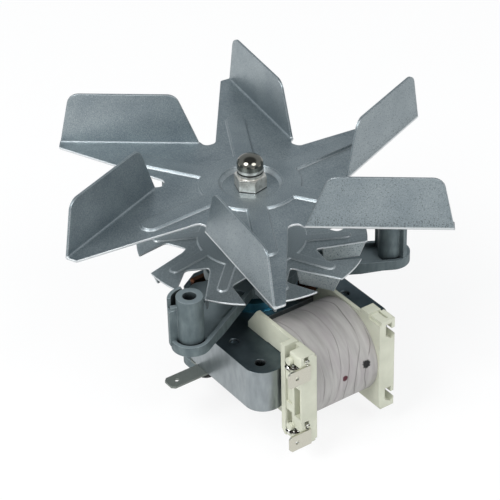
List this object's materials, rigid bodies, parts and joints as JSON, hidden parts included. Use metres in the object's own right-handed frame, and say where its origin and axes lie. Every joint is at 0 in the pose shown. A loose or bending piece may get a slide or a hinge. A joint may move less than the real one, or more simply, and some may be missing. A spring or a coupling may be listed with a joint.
{
  "type": "oven fan motor",
  "caption": "Shaded-pole motor that hangs from a three-post cast bracket, with a folded sheet fan for the oven and a small cooling fan on its shaft.",
  "frame": {"origin": "on the shaft axis, in the plane of the three post tops that bolt to the oven wall", "axes": "+Z along the shaft towards the main fan and the oven, -Y towards the coil, the near post of the picture at -150 degrees"},
  "size_m": [0.15, 0.1312, 0.0992],
  "materials": {
    "lamination_steel": "varnished stack of laminations, satin",
    "rotor_steel": "ground and lacquered laminations, glossy",
    "copper": "bare copper, darkened by heat",
    "bobbin_plastic": "moulded glass-filled plastic, ivory, matte",
    "enamelled_copper": "enamelled wire, glossy",
    "insulation_tape": "wrinkled insulation tape, pale grey",
    "tinned_brass": "tin plated, bright",
    "die_cast_zinc": "die-cast zinc alloy, matte grey",
    "sintered_bronze": "sintered, oil soaked",
    "felt": "oiled felt",
    "spring_steel": "spring steel, oiled",
    "black_steel": "black oxide, glossy",
    "dull_zinc_steel": "zinc plated, dull",
    "bright_steel": "ground bright steel",
    "cast_aluminium": "cast aluminium",
    "nylon": "nylon, matte",
    "brass_turned": "turned brass",
    "aluminised_steel": "aluminised sheet steel, satin with fine speckle",
    "nickel_plate": "nickel plated, bright"
  },
  "bodies": {
    "stator": {"stator_core": "lamination_steel", "coil_yoke": "lamination_steel", "shading_ring_left_first": "copper", "shading_ring_left_second": "copper", "shading_ring_right_first": "copper", "shading_ring_right_second": "copper", "bobbin": "bobbin_plastic", "coil_winding": "enamelled_copper", "coil_tape": "insulation_tape", "terminal_upper": "tinned_brass", "terminal_lower": "tinned_brass", "front_bracket": "die_cast_zinc", "front_bearing": "sintered_bronze", "front_oil_felt": "felt", "front_bearing_clip": "spring_steel", "rear_bracket": "die_cast_zinc", "rear_bearing": "sintered_bronze", "rear_oil_felt": "felt", "rear_bearing_clip": "spring_steel", "clamp_screw_left": "black_steel", "clamp_screw_right": "black_steel", "earth_tab": "dull_zinc_steel"},
    "rotor": {"shaft": "bright_steel", "rotor_core": "rotor_steel", "rotor_cage": "cast_aluminium", "front_thrust_washer": "nylon", "rear_thrust_washer": "nylon", "front_spacer": "brass_turned", "rear_spacer": "brass_turned", "fan_seat_washer": "bright_steel", "cooling_fan_hub": "brass_turned", "cooling_fan": "aluminised_steel", "main_fan": "aluminised_steel", "dome_nut": "nickel_plate"}
  },
  "joints": [
    {"name": "rotor_spin", "type": "hinge", "parent": "stator", "child": "rotor", "pos_m": [0, 0, 0], "axis": [0, 0, 1], "continuous": true}
  ]
}
